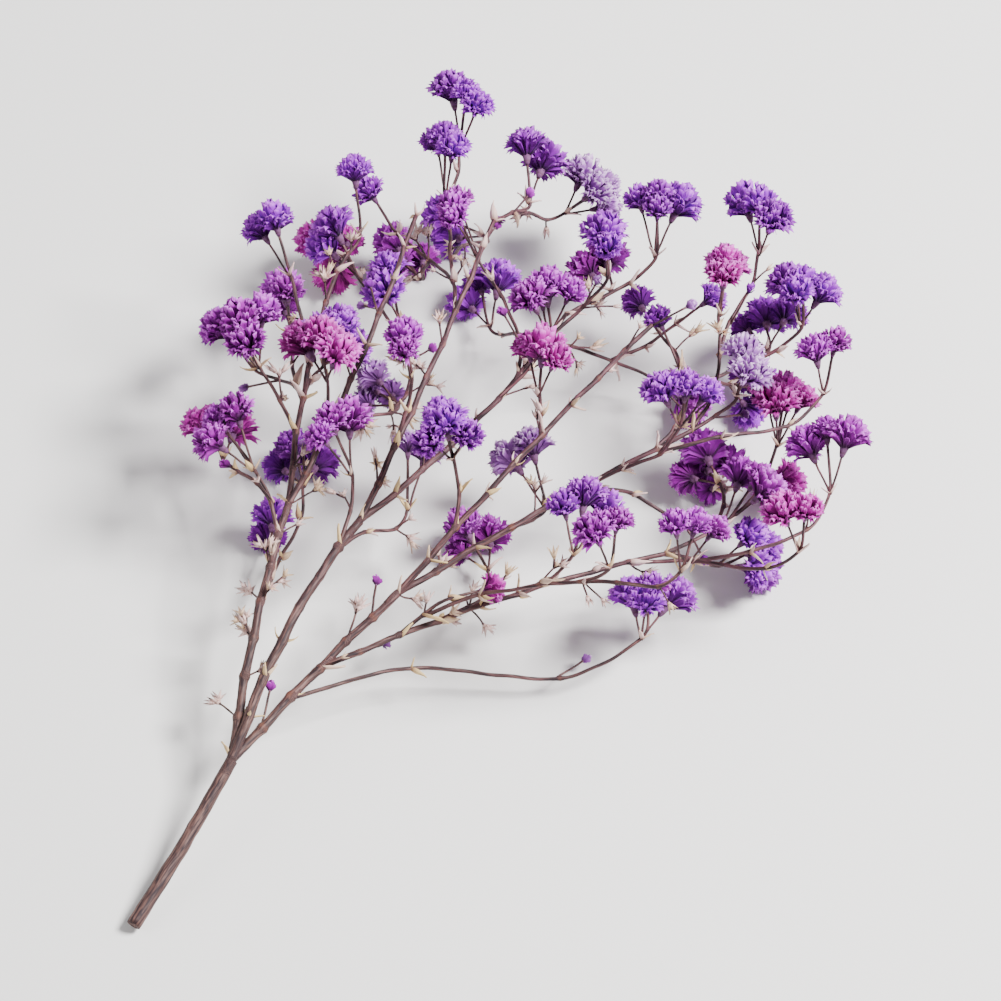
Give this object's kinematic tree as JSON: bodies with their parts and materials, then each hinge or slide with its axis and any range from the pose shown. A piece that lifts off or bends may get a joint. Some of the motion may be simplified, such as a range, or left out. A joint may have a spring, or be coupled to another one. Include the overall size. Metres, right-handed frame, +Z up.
{
  "type": "dried flower spray",
  "caption": "Dried, dyed spray of double-flowered gypsophila lying flat: a cut stem forking into a fan of hair-thin branchlets with heads of small purple blooms.",
  "frame": {"origin": "middle of the spray's footprint on the surface it lies on", "axes": "+Y from the cut end of the stem to the tips of the fan, the longest extent; +Z up from the surface, the shortest extent; +X across the fan"},
  "size_m": [0.1168, 0.169, 0.0437],
  "materials": {
    "stem": "dry brown-mauve bark with pale papery bracts, matt",
    "petals_violet": "dyed dried petals, violet, matt",
    "petals_purple": "dyed dried petals, purple, matt",
    "petals_magenta": "dyed dried petals, magenta-purple, matt",
    "petals_lilac": "dyed dried petals, faded lilac, matt"
  },
  "bodies": {
    "root": {"bloom_head_01": "petals_violet", "bloom_head_02": "petals_violet", "bloom_head_03": "petals_violet", "bloom_head_04": "petals_purple", "bloom_head_05": "petals_magenta", "bloom_head_06": "petals_magenta", "bloom_head_07": "petals_violet", "bloom_head_08": "petals_violet", "bloom_head_09": "petals_magenta", "bloom_head_10": "petals_purple", "bloom_head_11": "petals_purple", "bloom_head_12": "petals_purple", "bloom_head_13": "petals_violet", "bloom_head_14": "petals_lilac", "bloom_head_15": "petals_magenta", "bloom_head_16": "petals_violet", "bloom_head_17": "petals_violet", "bloom_head_18": "petals_magenta", "bloom_head_19": "petals_purple", "bloom_head_20": "petals_violet", "bloom_head_21": "petals_purple", "bloom_head_22": "petals_lilac", "bloom_head_23": "petals_purple", "bloom_head_24": "petals_lilac", "bloom_head_25": "petals_violet", "bloom_head_26": "petals_purple", "bloom_head_27": "petals_violet", "bloom_head_28": "petals_magenta", "bloom_head_29": "petals_purple", "bloom_head_30": "petals_violet", "bloom_head_31": "petals_violet", "bloom_head_32": "petals_purple", "bloom_head_33": "petals_violet", "bloom_head_34": "petals_magenta", "bloom_head_35": "petals_purple", "bloom_head_36": "petals_purple", "bloom_head_37": "petals_violet", "bloom_head_38": "petals_violet", "bloom_head_39": "petals_purple", "bloom_head_40": "petals_violet", "bloom_head_41": "petals_lilac", "bloom_head_42": "petals_purple", "bloom_head_43": "petals_magenta", "bloom_head_44": "petals_violet", "bloom_head_45": "petals_magenta", "bloom_head_46": "petals_purple", "bloom_head_47": "petals_violet", "bloom_head_48": "petals_purple", "bloom_head_49": "petals_violet", "bloom_head_50": "petals_violet", "bloom_head_51": "petals_violet", "bloom_head_52": "petals_violet", "bloom_head_53": "petals_purple", "bloom_head_54": "petals_violet", "bloom_head_55": "petals_violet", "bloom_head_56": "petals_violet", "bloom_head_57": "petals_violet", "bloom_head_58": "petals_lilac", "bloom_head_59": "petals_violet", "stem": "stem"}
  },
  "joints": []
}
